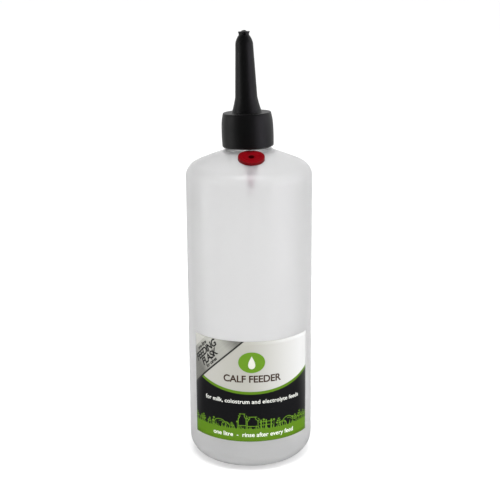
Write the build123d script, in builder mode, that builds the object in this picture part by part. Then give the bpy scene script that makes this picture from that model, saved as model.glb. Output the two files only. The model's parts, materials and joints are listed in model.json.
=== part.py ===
"""Calf feeding bottle: a one-litre blow-moulded bottle with a pull-on rubber teat, a push-in air valve and
a front label. Millimetres, +Z up, origin at the centre of the standing ring, the label facing -Y."""

import os
from math import asin, cos, degrees, radians, sin, sqrt

from build123d import *

# ---- bottle ---------------------------------------------------------------------------------------------
BODY_R = 43.0  # outside of the straight wall
WALL = 1.1  # blown wall
HEEL_R = 14.0  # round between wall and base
STAND_WIDTH = 3.0  # flat ring that the bottle stands on
PUSH_UP = 3.0  # height of the hollow under the base
BODY_TOP_Z = 199.1  # where the straight wall ends
CORNER_R = 10.7  # round between wall and shoulder
SHOULDER_SLOPE = 23.25  # degrees from level, where the corner meets the shoulder
DOME_R = 400.0  # the shoulder is very slightly domed

NECK_R = 13.2
NECK_TOP_Z = 240.0
MOUTH_R = 11.4  # inside of the neck
BEAD_R = 14.0  # bead that holds the teat on
BEAD_BOTTOM_Z = 235.6
BEAD_TOP_Z = 239.2
BEAD_ROUND = 0.9
RING_R = 16.4  # low moulded ring around the foot of the neck
RING_TOP_Z = 218.8
RING_ROUND = 0.7
NECK_FOOT_R = 14.3  # the neck is a little thicker at its foot
NECK_FOOT_Z = 219.4
INSIDE_FOOT_RISE = 2.0  # chamfer inside, between shoulder and neck

# ---- air valve ------------------------------------------------------------------------------------------
VALVE_AT_R = 20.0  # its distance from the bottle's axis, on the shoulder
VALVE_TURN = 4.4  # degrees round from the middle of the front, towards +X
VALVE_HOLE_R = 4.5
STEM_R = 4.35
FLANGE_R = 8.95
FLANGE_TOP = 2.0  # height of the flange's face over the shoulder, at its middle
FLANGE_ROUND = 0.4
SEAT_GAP = 0.06  # between the flange and the shoulder that it follows
RECESS_R = 9.2  # the ring is interrupted here, to let the flange lie on the shoulder
BILL_TIP = 26.0  # depth of the bill's tip under the shoulder
BILL_START = 7.0  # depth where the stem begins to flatten
BILL_TIP_WIDTH = 1.6
VALVE_BORE_R = 2.1
SLIT_WIDTH = 0.3
BILL_WALL = (STEM_R - VALVE_BORE_R) * 0.8  # wall of the flattened part

# ---- teat -----------------------------------------------------------------------------------------------
COLLAR_BOTTOM_Z = 220.2
COLLAR_FOOT_R = 17.1
COLLAR_BELLY_R = 17.28
COLLAR_BELLY_Z = 229.5
COLLAR_NECK_R = 16.68
COLLAR_NECK_Z = 238.0
COLLAR_RIM_R = 15.85
COLLAR_TOP_Z = 243.2
COLLAR_FOOT_ROUND = 1.1
SOCKET_R = BEAD_R + 0.2
SOCKET_ROOF_Z = NECK_TOP_Z + 0.05
FLARE_FOOT_R = 9.8
FLARE_TOP_R = 7.4
FLARE_TOP_Z = 252.9
CONE_TOP_R = 5.83
CONE_TOP_Z = 288.8
NIB_R = 3.65
NIB_BOTTOM_Z = 294.2
NIB_TOP_Z = 298.0
NIB_ROUND = 0.6
TEAT_WALL = 2.1
MILK_HOLE_R = 1.1
MILK_HOLE_Z = 290.5  # where the hollow closes to the milk hole

# ---- label ----------------------------------------------------------------------------------------------
LABEL_BOTTOM_Z = 23.0
LABEL_HEIGHT = 72.3
LABEL_FROM = -60.1  # degrees round from the middle of the front
LABEL_TO = 62.2
LABEL_FILM = 0.15
LABEL_CORNER_R = 0.8

# ---- places worked out from the sizes above -------------------------------------------------------------
corner_r = BODY_R - CORNER_R + CORNER_R * sin(radians(SHOULDER_SLOPE))
corner_z = BODY_TOP_Z + CORNER_R * cos(radians(SHOULDER_SLOPE))
dome_centre_r = corner_r - DOME_R * sin(radians(SHOULDER_SLOPE))
dome_centre_z = corner_z - DOME_R * cos(radians(SHOULDER_SLOPE))


def dome_z(radius, gap=0.0):
    """Height of the shoulder at a distance from the axis, the shoulder being grown outwards by gap."""
    return dome_centre_z + sqrt((DOME_R + gap) ** 2 - (radius - dome_centre_r) ** 2)


valve_tilt = degrees(asin((VALVE_AT_R - dome_centre_r) / DOME_R))
valve_seat = Plane(
    origin=Vector(0, -VALVE_AT_R, dome_z(VALVE_AT_R)).rotate(Axis.Z, VALVE_TURN),
    x_dir=Vector(1, 0, 0).rotate(Axis.Z, VALVE_TURN),
    z_dir=Vector(0, -sin(radians(valve_tilt)), cos(radians(valve_tilt))).rotate(Axis.Z, VALVE_TURN),
)


def shell_outline(inset):
    """The bottle's half outline on the XZ plane from the axis at the base to the foot of the neck, moved
    inwards by inset. It is drawn into the line builder that is open when it is called."""
    stand_inner_r = BODY_R - HEEL_R - STAND_WIDTH
    slope_end = degrees(asin((NECK_R - inset - dome_centre_r) / (DOME_R - inset)))
    ThreePointArc(
        (0, PUSH_UP + inset),
        (stand_inner_r * 0.5, PUSH_UP * 0.75 + inset),
        (stand_inner_r, inset),
    )
    Line((stand_inner_r, inset), (BODY_R - HEEL_R, inset))
    CenterArc((BODY_R - HEEL_R, HEEL_R), HEEL_R - inset, -90, 90)
    Line((BODY_R - inset, HEEL_R), (BODY_R - inset, BODY_TOP_Z))
    CenterArc((BODY_R - CORNER_R, BODY_TOP_Z), CORNER_R - inset, 0, 90 - SHOULDER_SLOPE)
    CenterArc(
        (dome_centre_r, dome_centre_z),
        DOME_R - inset,
        90 - SHOULDER_SLOPE,
        SHOULDER_SLOPE - slope_end,
    )


# ---- the bottle: one blown shell ------------------------------------------------------------------------
with BuildPart() as bottle:
    # ring around the neck's foot, interrupted where the valve's flange lies
    with BuildSketch(Plane.XY.offset(RING_TOP_Z)):
        Circle(RING_R)
    extrude(amount=dome_z(RING_R) - RING_TOP_Z - 1)
    fillet(bottle.edges().sort_by(Axis.Z)[-1], RING_ROUND)
    with BuildSketch(valve_seat.offset(-RECESS_R)):
        Circle(RECESS_R)
    extrude(amount=2 * RECESS_R, mode=Mode.SUBTRACT)

    # solid body up to the shoulder
    with BuildSketch(Plane.XZ):
        with BuildLine():
            shell_outline(0)
            Polyline((NECK_R, dome_z(NECK_R)), (0, dome_z(NECK_R)), (0, PUSH_UP))
        make_face()
    revolve(axis=Axis.Z)

    # neck with the bead that holds the teat
    with BuildSketch(Plane.XZ):
        with BuildLine():
            Polyline(
                (0, dome_z(NECK_R) - 1),
                (NECK_FOOT_R, dome_z(NECK_R) - 1),
                (NECK_FOOT_R, NECK_FOOT_Z),
                (NECK_R, NECK_FOOT_Z + NECK_FOOT_R - NECK_R),
                (NECK_R, BEAD_BOTTOM_Z),
                (BEAD_R, BEAD_BOTTOM_Z + BEAD_R - NECK_R),
                (BEAD_R, BEAD_TOP_Z),
                (BEAD_R - BEAD_ROUND, NECK_TOP_Z),
                (0, NECK_TOP_Z),
                close=True,
            )
        make_face()
    revolve(axis=Axis.Z)

    # the hollow inside: body and neck
    with BuildSketch(Plane.XZ):
        with BuildLine():
            shell_outline(WALL)
            Polyline(
                (NECK_R - WALL, dome_z(NECK_R - WALL, -WALL)),
                (MOUTH_R, dome_z(NECK_R, -WALL) + INSIDE_FOOT_RISE),
                (MOUTH_R, NECK_TOP_Z + 1),
                (0, NECK_TOP_Z + 1),
                (0, PUSH_UP + WALL),
            )
        make_face()
    revolve(axis=Axis.Z, mode=Mode.SUBTRACT)

    # hole for the valve, square to the shoulder
    with BuildSketch(valve_seat.offset(-4 * WALL)):
        Circle(VALVE_HOLE_R)
    extrude(amount=8 * WALL, mode=Mode.SUBTRACT)

# ---- the shoulder and neck as a block grown by the seat gap, which shapes the flange's underside ----------
with BuildPart() as shoulder_block:
    with BuildSketch(Plane.XZ):
        block_r = VALVE_AT_R + 2 * FLANGE_R
        foot_r = NECK_FOOT_R + SEAT_GAP
        with BuildLine():
            Line((0, 0), (block_r, 0))
            Line((block_r, 0), (block_r, dome_z(block_r, SEAT_GAP)))
            ThreePointArc(
                (block_r, dome_z(block_r, SEAT_GAP)),
                (VALVE_AT_R, dome_z(VALVE_AT_R, SEAT_GAP)),
                (foot_r, dome_z(foot_r, SEAT_GAP)),
            )
            Polyline(
                (foot_r, dome_z(foot_r, SEAT_GAP)),
                (foot_r, NECK_TOP_Z),
                (0, NECK_TOP_Z),
                (0, 0),
            )
        make_face()
    revolve(axis=Axis.Z)

# ---- the air valve: flange, stem and flattened bill in one piece of rubber --------------------------------
with BuildPart() as air_valve:
    with BuildSketch(valve_seat.offset(FLANGE_TOP)):
        Circle(FLANGE_R)
    extrude(amount=-2 * FLANGE_TOP)
    fillet(air_valve.faces().sort_by(Axis.Z)[-1].edges(), FLANGE_ROUND)
    add(shoulder_block.part, mode=Mode.SUBTRACT)

    with BuildSketch(valve_seat.offset(FLANGE_TOP / 2)):
        Circle(STEM_R)
    extrude(amount=-FLANGE_TOP / 2 - BILL_TIP)

    # two slanting cuts flatten the lower stem to the bill
    with BuildSketch(Plane(origin=valve_seat.origin, x_dir=valve_seat.x_dir, z_dir=-valve_seat.y_dir)):
        with BuildLine():
            Polyline(
                (STEM_R, -BILL_START),
                (BILL_TIP_WIDTH / 2, -BILL_TIP),
                (STEM_R * 2, -BILL_TIP),
                (STEM_R * 2, -BILL_START),
                close=True,
            )
        make_face()
        mirror(about=Plane.YZ)
    extrude(amount=2 * STEM_R, both=True, mode=Mode.SUBTRACT)

    # the air way: a round bore that narrows to the slit between the lips
    with BuildPart(mode=Mode.PRIVATE) as air_way:
        with BuildSketch(valve_seat.offset(FLANGE_TOP)):
            Circle(VALVE_BORE_R)
        extrude(amount=-(FLANGE_TOP + BILL_TIP))
        with BuildSketch(Plane(origin=valve_seat.origin, x_dir=valve_seat.x_dir, z_dir=-valve_seat.y_dir)):
            with BuildLine():
                Polyline(
                    (STEM_R - BILL_WALL, -BILL_START),
                    (SLIT_WIDTH / 2, -BILL_TIP),
                    (STEM_R * 2, -BILL_TIP),
                    (STEM_R * 2, -BILL_START),
                    close=True,
                )
            make_face()
            mirror(about=Plane.YZ)
        extrude(amount=2 * STEM_R, both=True, mode=Mode.SUBTRACT)
    add(air_way.part, mode=Mode.SUBTRACT)

# ---- the teat: collar, flare, nipple and nib in one piece of rubber ---------------------------------------
with BuildPart() as teat:
    with BuildSketch(Plane.XZ):
        with BuildLine():
            Line((0, COLLAR_BOTTOM_Z), (COLLAR_FOOT_R, COLLAR_BOTTOM_Z))
            Spline(
                (COLLAR_FOOT_R, COLLAR_BOTTOM_Z),
                (COLLAR_BELLY_R, COLLAR_BELLY_Z),
                (COLLAR_NECK_R, COLLAR_NECK_Z),
                (COLLAR_RIM_R, COLLAR_TOP_Z),
            )
            Polyline(
                (COLLAR_RIM_R, COLLAR_TOP_Z),
                (FLARE_FOOT_R, COLLAR_TOP_Z),
                (FLARE_TOP_R, FLARE_TOP_Z),
                (CONE_TOP_R, CONE_TOP_Z),
            )
            Line((CONE_TOP_R, CONE_TOP_Z), (CONE_TOP_R * 0.85, CONE_TOP_Z + 3.3))
            Line((CONE_TOP_R * 0.85, CONE_TOP_Z + 3.3), (NIB_R, NIB_BOTTOM_Z))
            Polyline((NIB_R, NIB_BOTTOM_Z), (NIB_R, NIB_TOP_Z), (0, NIB_TOP_Z), (0, COLLAR_BOTTOM_Z))
        make_face()
    revolve(axis=Axis.Z)
    rims = teat.edges().filter_by(GeomType.CIRCLE).sort_by(Axis.Z)
    fillet(rims[0], COLLAR_FOOT_ROUND)
    fillet(teat.edges().filter_by(GeomType.CIRCLE).sort_by(Axis.Z)[-1], NIB_ROUND)

    # socket for the bottle's neck, then the hollow of the nipple, then the milk hole
    with BuildSketch(Plane.XY.offset(COLLAR_BOTTOM_Z)):
        Circle(SOCKET_R)
    extrude(amount=SOCKET_ROOF_Z - COLLAR_BOTTOM_Z, mode=Mode.SUBTRACT)
    with BuildSketch(Plane.XZ):
        with BuildLine():
            Polyline(
                (0, SOCKET_ROOF_Z - 1),
                (FLARE_FOOT_R - TEAT_WALL, SOCKET_ROOF_Z - 1),
                (FLARE_FOOT_R - TEAT_WALL, COLLAR_TOP_Z),
                (FLARE_TOP_R - TEAT_WALL, FLARE_TOP_Z),
                (CONE_TOP_R - TEAT_WALL, CONE_TOP_Z - 2 * TEAT_WALL),
                (MILK_HOLE_R, MILK_HOLE_Z),
                (MILK_HOLE_R, NIB_TOP_Z + 1),
                (0, NIB_TOP_Z + 1),
                close=True,
            )
        make_face()
    revolve(axis=Axis.Z, mode=Mode.SUBTRACT)

# ---- the label: a film wrapped on the front of the wall ---------------------------------------------------
with BuildPart() as front_label:
    label_start = Plane.XZ.rotated((0, 0, LABEL_FROM - 90))
    with BuildSketch(label_start):
        with Locations((BODY_R + LABEL_FILM / 2, LABEL_BOTTOM_Z + LABEL_HEIGHT / 2)):
            Rectangle(LABEL_FILM, LABEL_HEIGHT)
    revolve(axis=Axis.Z, revolution_arc=LABEL_TO - LABEL_FROM)
    film_corners = [edge for edge in front_label.edges() if abs(edge.length - LABEL_FILM) < 0.01]
    fillet(film_corners, LABEL_CORNER_R)

# ---- write the pieces -------------------------------------------------------------------------------------
os.makedirs("parts", exist_ok=True)
bottle.part.label = "bottle"
teat.part.label = "teat"
air_valve.part.label = "air_valve"
front_label.part.label = "front_label"
export_step(bottle.part, "parts/bottle.step")
export_step(teat.part, "parts/teat.step")
export_step(air_valve.part, "parts/air_valve.step")
export_step(front_label.part, "parts/front_label.step")

print("shoulder slope at the valve", round(valve_tilt, 2), "degrees")
print("valve seat", valve_seat.origin, "axis", valve_seat.z_dir)
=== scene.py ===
# %% [markdown]
# # A calf feeding bottle
#
# The object is a tall bottle of milky plastic, a black rubber teat pulled over its neck, a red rubber air
# valve pushed into its shoulder, and a printed film label. The CAD model holds the sizes and the motions.
# This script makes the surfaces that are seen, in the same place and in the same frame, and gives each one
# its finish. Lengths are in millimetres until a mesh is made.

import json
from math import cos, pi, radians, sin

import bmesh
import bpy
import numpy as np
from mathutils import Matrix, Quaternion, Vector


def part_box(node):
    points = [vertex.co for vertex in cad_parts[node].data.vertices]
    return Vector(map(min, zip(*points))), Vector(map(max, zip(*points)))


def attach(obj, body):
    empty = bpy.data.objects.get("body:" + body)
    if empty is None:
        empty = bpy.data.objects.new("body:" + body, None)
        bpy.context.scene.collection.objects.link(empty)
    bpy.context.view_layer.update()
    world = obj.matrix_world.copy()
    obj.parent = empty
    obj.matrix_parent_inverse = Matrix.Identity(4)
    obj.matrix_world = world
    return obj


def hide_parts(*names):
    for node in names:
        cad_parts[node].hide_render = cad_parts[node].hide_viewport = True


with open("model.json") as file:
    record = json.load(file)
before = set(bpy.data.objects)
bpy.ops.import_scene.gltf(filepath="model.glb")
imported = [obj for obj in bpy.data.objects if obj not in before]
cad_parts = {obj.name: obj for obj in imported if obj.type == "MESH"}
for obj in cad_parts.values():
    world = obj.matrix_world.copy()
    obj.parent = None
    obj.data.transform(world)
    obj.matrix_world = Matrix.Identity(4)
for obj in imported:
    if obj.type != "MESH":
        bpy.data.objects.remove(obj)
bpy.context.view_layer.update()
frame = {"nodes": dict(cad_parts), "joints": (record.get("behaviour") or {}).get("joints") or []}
MM = 0.001

# %% [markdown]
# ## Profiles and grids
#
# Most of this object is turned: a half outline of straight runs and arcs, carried once round an axis. The
# outline is an array of (radius, height) points and the turned surface is a grid of points, so a whole
# piece is a few array operations. A grid becomes a mesh of four-sided faces, and its poles are merged.


# %% Lines, arcs and turned grids
def line(start, end, count=2):
    """Points of a straight run: start + t (end - start), with t from 0 to 1."""
    t = np.linspace(0, 1, count)[:, None]
    return (1 - t) * np.array(start, float) + t * np.array(end, float)


def arc(centre, radius, from_deg, to_deg, count=10):
    """Points of an arc: centre + radius (cos a, sin a), with a going from one angle to the other. The
    radius is one number, or a pair for an oval arc."""
    a = np.radians(np.linspace(from_deg, to_deg, count))
    return np.array(centre, float) + np.array(radius) * np.stack([np.cos(a), np.sin(a)], axis=1)


def joined(*runs):
    """One outline from several runs, leaving out points that repeat the one before."""
    points = np.concatenate(runs)
    step = np.linalg.norm(np.diff(points, axis=0), axis=1)
    return points[np.concatenate([[True], step > 1e-4])]


def turned(outline, angles):
    """Grid [outline point, angle]: (r, z) goes to (r cos v, r sin v, z), with v from angles."""
    r, z = outline[:, 0][:, None], outline[:, 1][:, None]
    return np.stack([r * np.cos(angles), r * np.sin(angles), z + 0 * angles], axis=-1)


def smooth_step(x):
    """0 below 0, 1 above 1, and 3x^2 - 2x^3 between."""
    x = np.clip(x, 0, 1)
    return x * x * (3 - 2 * x)


def swell(x, at, width):
    """A smooth hump of height 1: e to the power of minus ((x - at) / width)^2."""
    return np.exp(-(((x - at) / width) ** 2))


def left_of(start, end):
    """The unit vector square to the way from start to end, on its left-hand side."""
    along = np.array(end, float) - np.array(start, float)
    return np.array([-along[1], along[0]]) / np.hypot(*along)


def bulged(start, end, bulge, count):
    """A gently curved run: a straight one, pushed to its right by bulge times a half sine wave."""
    wave = np.sin(np.linspace(0, pi, count))[:, None]
    return line(start, end, count) - bulge * wave * left_of(start, end)


def new_object(name, data):
    """An object in the scene, at the origin, that shows a mesh, a light, a camera or a line of text."""
    made = bpy.data.objects.new(name, data)
    bpy.context.scene.collection.objects.link(made)
    return made


def piece_of_grid(name, grid, round_closed=True, uv=None):
    """A mesh object from a grid [row, column, xyz] in millimetres. Each face joins a point, the next one
    along its row and the two beside them in the next row; the last column joins the first if the rows are
    closed. Points that coincide, as at a pole, are merged, and the faces are turned to point outwards."""
    rows, columns = grid.shape[:2]
    number = np.arange(rows * columns).reshape(rows, columns)
    beside = np.roll(number, -1, axis=1) if round_closed else number[:, 1:]
    here = number if round_closed else number[:, :-1]
    quads = np.stack([here[:-1], beside[:-1], beside[1:], here[1:]], axis=-1).reshape(-1, 4)
    mesh = bpy.data.meshes.new(name)
    mesh.from_pydata((grid.reshape(-1, 3) * MM).tolist(), [], quads.tolist())
    if uv is not None:
        layer = mesh.uv_layers.new(name="print")
        layer.data.foreach_set("uv", uv.reshape(-1, 2)[quads.ravel()].ravel())
    bm = bmesh.new()
    bm.from_mesh(mesh)
    if round_closed:
        bmesh.ops.remove_doubles(bm, verts=bm.verts, dist=1e-7)
        bmesh.ops.recalc_face_normals(bm, faces=bm.faces)
    bm.to_mesh(mesh)
    bm.free()
    mesh.shade_smooth()
    print(name, "has", len(mesh.polygons), "faces")
    return new_object(name, mesh)


# %% [markdown]
# ## The bottle
#
# A bottle like this is blown: a tube of soft polyethylene is closed in a two-part mould and inflated. So it
# is one thin shell with rounds everywhere, a flat ring to stand on, a hollow under the base, and a faint
# ridge where the mould's halves met. The outline runs from the middle of the base up the outside, over the
# lip of the neck and down the inside to the middle of the floor. A boolean cuts the hole for the valve.

# %% Sizes of the bottle
BODY_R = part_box("bottle")[1].x / MM
NECK_TOP_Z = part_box("bottle")[1].z / MM
WALL = 1.1
HEEL_R = 14.0
STAND_INNER_R = 26.0
PUSH_UP = 3.0
BODY_TOP_Z = 200.0
CORNER_R = 10.2
SHOULDER_SLOPE = 23.25
DOME_R = 400.0
RING_TOP_Z = 218.8
NECK_FOOT_R = 14.3
NECK_FOOT_Z = 219.4
NECK_R = 13.2
MOUTH_R = 11.4
BEAD_R = 14.0
BEAD_BOTTOM_Z = 235.6
BEAD_ROUND = 0.9
MOUTH_ROUND = 0.4

VALVE_AXIS = Vector(next(j["axis"] for j in frame["joints"] if j["name"] == "valve_pull_out"))
VALVE_AT_R = 20.8
VALVE_TURN = radians(4.4)

corner_centre_r = BODY_R - CORNER_R
dome_centre_r = corner_centre_r - (DOME_R - CORNER_R) * sin(radians(SHOULDER_SLOPE))
dome_centre_z = BODY_TOP_Z - (DOME_R - CORNER_R) * cos(radians(SHOULDER_SLOPE))


def dome_z(radius, gap=0.0):
    """Height of the shoulder at a distance from the axis, the shoulder grown outwards by gap."""
    return dome_centre_z + np.sqrt((DOME_R + gap) ** 2 - (radius - dome_centre_r) ** 2)


valve_seat = Vector(
    (VALVE_AT_R * sin(VALVE_TURN), -VALVE_AT_R * cos(VALVE_TURN), dome_z(VALVE_AT_R))
)
print("the valve sits at", [round(v, 2) for v in valve_seat])


# %% The bottle's outline, outside and inside
def shoulder_angle(radius, inset):
    """Angle of the dome's point at a distance from the axis, seen from the dome's centre, in degrees."""
    return np.degrees(np.arccos((radius - dome_centre_r) / (DOME_R - inset)))


def wall_outline(inset, top_r):
    """From the middle of the base out, round the heel, up the wall and over the shoulder to top_r."""
    r = np.linspace(0, STAND_INNER_R, 16)
    push_up = np.stack([r, PUSH_UP * (1 - (r / STAND_INNER_R) ** 2) + inset], axis=1)
    heel_centre = (BODY_R - HEEL_R, HEEL_R)
    return joined(
        push_up,
        arc(heel_centre, HEEL_R - inset, -90, 0, 22),
        line((BODY_R - inset, HEEL_R), (BODY_R - inset, BODY_TOP_Z), 48),
        arc((corner_centre_r, BODY_TOP_Z), CORNER_R - inset, 0, 90 - SHOULDER_SLOPE, 18),
        arc(
            (dome_centre_r, dome_centre_z),
            DOME_R - inset,
            90 - SHOULDER_SLOPE,
            shoulder_angle(top_r, inset),
            26,
        ),
    )


# the moulded ring at the neck's foot rises from the shoulder as a soft welt
WELT_FOOT_R = 18.3
WELT_WIDTH = 3.4
welt_share = np.linspace(0, 1, 14)
welt_r = WELT_FOOT_R - WELT_WIDTH * welt_share
welt_z = dome_z(welt_r) + (RING_TOP_Z - dome_z(welt_r)) * smooth_step(welt_share)
welt_foot_z = float(dome_z(WELT_FOOT_R + 0.1))
inside_foot_z = float(dome_z(NECK_R, -WALL))
outside = joined(
    wall_outline(0, WELT_FOOT_R + 0.2),
    np.stack([welt_r, welt_z], axis=1),
    arc((NECK_FOOT_R + 0.3, RING_TOP_Z + 0.3), 0.3, 270, 180, 4),
    line((NECK_FOOT_R, NECK_FOOT_Z), (NECK_R, NECK_FOOT_Z + NECK_FOOT_R - NECK_R), 3),
    line((NECK_R, NECK_FOOT_Z + 3), (NECK_R, BEAD_BOTTOM_Z), 6),
    arc((BEAD_R - BEAD_ROUND, BEAD_BOTTOM_Z + 1.6), BEAD_ROUND, -35, 0, 4),
    arc((BEAD_R - BEAD_ROUND, NECK_TOP_Z - BEAD_ROUND), BEAD_ROUND, 0, 90, 8),
    arc((MOUTH_R + MOUTH_ROUND, NECK_TOP_Z - MOUTH_ROUND), MOUTH_ROUND, 90, 180, 5),
    line((MOUTH_R, NECK_TOP_Z - 1), (MOUTH_R, inside_foot_z + 2), 10),
)
inside = wall_outline(WALL, NECK_R - WALL)[::-1]
bottle_outline = joined(outside, inside)
print("the bottle's outline has", len(bottle_outline), "points, the wall is", WALL, "mm thick")

# %% Turn it, and add the ridge that the mould's halves left
COLUMNS = 160
RIDGE_HEIGHT = 0.07
RIDGE_WIDTH = 0.28
WELT_CLEAR_R = 9.3
WELT_FADE = 1.2
near_seam = np.radians([0.15, 0.3, 0.5, 0.8])
even = np.linspace(0, 2 * pi, COLUMNS, endpoint=False)
seam_columns = [side + sign * near_seam for side in (0.0, pi) for sign in (-1, 1)]
angles = np.unique(np.concatenate([even, *seam_columns]) % (2 * pi))
bottle_grid = turned(bottle_outline, angles)

is_outside = (np.arange(len(bottle_outline)) < len(outside))[:, None]
ridge = RIDGE_HEIGHT * swell(bottle_grid[..., 1], 0, RIDGE_WIDTH) * is_outside
below_neck = bottle_outline[:, 1][:, None] < welt_foot_z
out_from_axis = bottle_grid[..., :2] / np.maximum(bottle_outline[:, 0], 1e-6)[:, None, None]
on_wall = (bottle_outline[:, 0] > STAND_INNER_R)[:, None]
bottle_grid[..., :2] += out_from_axis * (ridge * below_neck * on_wall)[..., None]

# the welt round the neck's foot fades out where the valve's flange lies
to_seat = bottle_grid - np.array(valve_seat)
along = to_seat @ np.array(VALVE_AXIS)
beside_axis = np.linalg.norm(to_seat - along[..., None] * np.array(VALVE_AXIS), axis=-1)
bare_z = dome_z(np.linalg.norm(bottle_grid[..., :2], axis=-1), 0.01)
is_welt = (bottle_outline[:, 0] > NECK_FOOT_R + 0.05) & (bottle_outline[:, 1] > welt_foot_z - 1)
fade = (1 - smooth_step((beside_axis - WELT_CLEAR_R) / WELT_FADE)) * is_welt[:, None] * is_outside
lowered = np.minimum(bottle_grid[..., 2], bare_z)
bottle_grid[..., 2] += fade * (lowered - bottle_grid[..., 2])

bottle = piece_of_grid("bottle_shell", bottle_grid)


# %% [markdown]
# The hole for the valve is square to the shoulder. A short cylinder around the valve's axis is subtracted
# with the Boolean modifier, the result replaces the mesh, and the cylinder is thrown away.


# %% A frame along the valve's axis, and the hole
def on_valve(local):
    """Points given as distances from the valve's seat, sideways, up the slope towards the neck and out
    along the valve's axis, put into the bottle's frame."""
    out = np.array(VALVE_AXIS.normalized())
    sideways = np.array([cos(VALVE_TURN), sin(VALVE_TURN), 0.0])
    up_slope = np.cross(out, sideways)
    place = local[..., :1] * sideways + local[..., 1:2] * up_slope + local[..., 2:] * out
    return place + np.array(valve_seat)


VALVE_HOLE_R = 4.5
CUT_REACH = 5
cutter_outline = joined(
    line((0, -CUT_REACH), (VALVE_HOLE_R, -CUT_REACH)), line((VALVE_HOLE_R, CUT_REACH), (0, CUT_REACH))
)
round_about = np.linspace(0, 2 * pi, 48, endpoint=False)
cutter = piece_of_grid("hole_cutter", on_valve(turned(cutter_outline, round_about)))
cut = bottle.modifiers.new("valve hole", "BOOLEAN")
cut.operation, cut.object, cut.solver = "DIFFERENCE", cutter, "EXACT"
depsgraph = bpy.context.evaluated_depsgraph_get()
bottle.data = bpy.data.meshes.new_from_object(bottle.evaluated_get(depsgraph))
bottle.modifiers.clear()
bpy.data.objects.remove(cutter)
print("the bottle now has", len(bottle.data.polygons), "faces")

# %% [markdown]
# ## The teat
#
# The teat is one rubber moulding: a thick collar, a flat step, a flare, a long cone and a nib whose top was
# cut by hand, so its rim is uneven. It was pulled on by hand as well, so it leans a little to the left and
# back. The outline is turned, then its points are tilted about the collar. The wall of the socket stays
# upright, because the hard neck holds it there.

# %% Sizes of the teat
COLLAR_BOTTOM_Z = 220.2
COLLAR_TOP_Z = 243.2
COLLAR_FOOT_R = 16.3
COLLAR_FOOT_ROUND = 1.1
COLLAR_LOW_R = 17.4
COLLAR_R = 17.5
COLLAR_WIDEST_Z = 233.0
COLLAR_HIGH_R = 16.25
COLLAR_EDGE_ROUND = 0.35
SOCKET_R = BEAD_R + 0.2
SOCKET_ROOF_Z = NECK_TOP_Z + 0.05
STEP_R = 10.7
STEP_FILLET = 0.8
FLARE_FOOT_R = 9.85
FLARE_TOP_R = 7.7
FLARE_TOP_Z = 252.4
CONE_FOOT_R = 7.45
CONE_TOP_R = 5.95
CONE_TOP_Z = 288.8
CONE_EDGE_R = 4.75
CONE_EDGE_Z = 292.6
HOLLOW_FOOT_R = 5.3
HOLLOW_TOP_R = 3.85
HOLLOW_END_Z = 290.2
FLARE_HOLLOW_R = 7.7
NIB_FOOT_R = 3.6
NIB_FOOT_Z = 294.4
NIB_TOP_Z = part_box("teat")[1].z / MM
NIB_RIM_Z = NIB_TOP_Z - 1.1
NIB_R = 3.65
MILK_HOLE_R = 1.1
LEAN_LEFT = radians(1.8)
LEAN_BACK = radians(2.6)
LEAN_ABOUT_Z = 226.0
SHIFT_LEFT = 0.62
print("the teat is", round(NIB_TOP_Z - COLLAR_BOTTOM_Z, 1), "mm tall")

# %% The teat's outline
teat_outside = joined(
    line((SOCKET_R + 0.5, COLLAR_BOTTOM_Z), (COLLAR_FOOT_R, COLLAR_BOTTOM_Z), 4),
    arc((COLLAR_FOOT_R, COLLAR_BOTTOM_Z + COLLAR_FOOT_ROUND), COLLAR_FOOT_ROUND, -90, -8, 9),
    bulged((COLLAR_LOW_R, COLLAR_BOTTOM_Z + 1.3), (COLLAR_R, COLLAR_WIDEST_Z), 0.13, 14),
    bulged((COLLAR_R, COLLAR_WIDEST_Z), (COLLAR_HIGH_R, COLLAR_TOP_Z - 0.3), 0.32, 14),
    arc((COLLAR_HIGH_R - 0.38, COLLAR_TOP_Z - COLLAR_EDGE_ROUND), COLLAR_EDGE_ROUND, 10, 90, 6),
    bulged((COLLAR_HIGH_R - 0.58, COLLAR_TOP_Z), (STEP_R, COLLAR_TOP_Z), 0.12, 8),
    arc((STEP_R, COLLAR_TOP_Z + STEP_FILLET), STEP_FILLET, 270, 195, 7),
    bulged((FLARE_FOOT_R, COLLAR_TOP_Z + 1.1), (FLARE_TOP_R, FLARE_TOP_Z), -0.12, 12),
    arc((FLARE_TOP_R + 1, FLARE_TOP_Z + 1.2), 1.2, 200, 182, 4),
    line((CONE_FOOT_R, FLARE_TOP_Z + 1.8), (CONE_TOP_R, CONE_TOP_Z), 30),
    bulged((CONE_TOP_R, CONE_TOP_Z), (CONE_EDGE_R, CONE_EDGE_Z), 0.22, 9),
    bulged((CONE_EDGE_R - 0.03, CONE_EDGE_Z + 0.1), (NIB_FOOT_R, NIB_FOOT_Z), 0.1, 5),
    line((NIB_FOOT_R - 0.1, NIB_FOOT_Z + 0.3), (NIB_R - 0.1, NIB_RIM_Z - 0.35), 8),
    arc((NIB_R - 0.45, NIB_RIM_Z - 0.35), 0.35, 0, 90, 6),
    bulged((NIB_R - 0.5, NIB_RIM_Z), (MILK_HOLE_R + 0.2, NIB_TOP_Z - 0.15), -0.15, 8),
)
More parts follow.
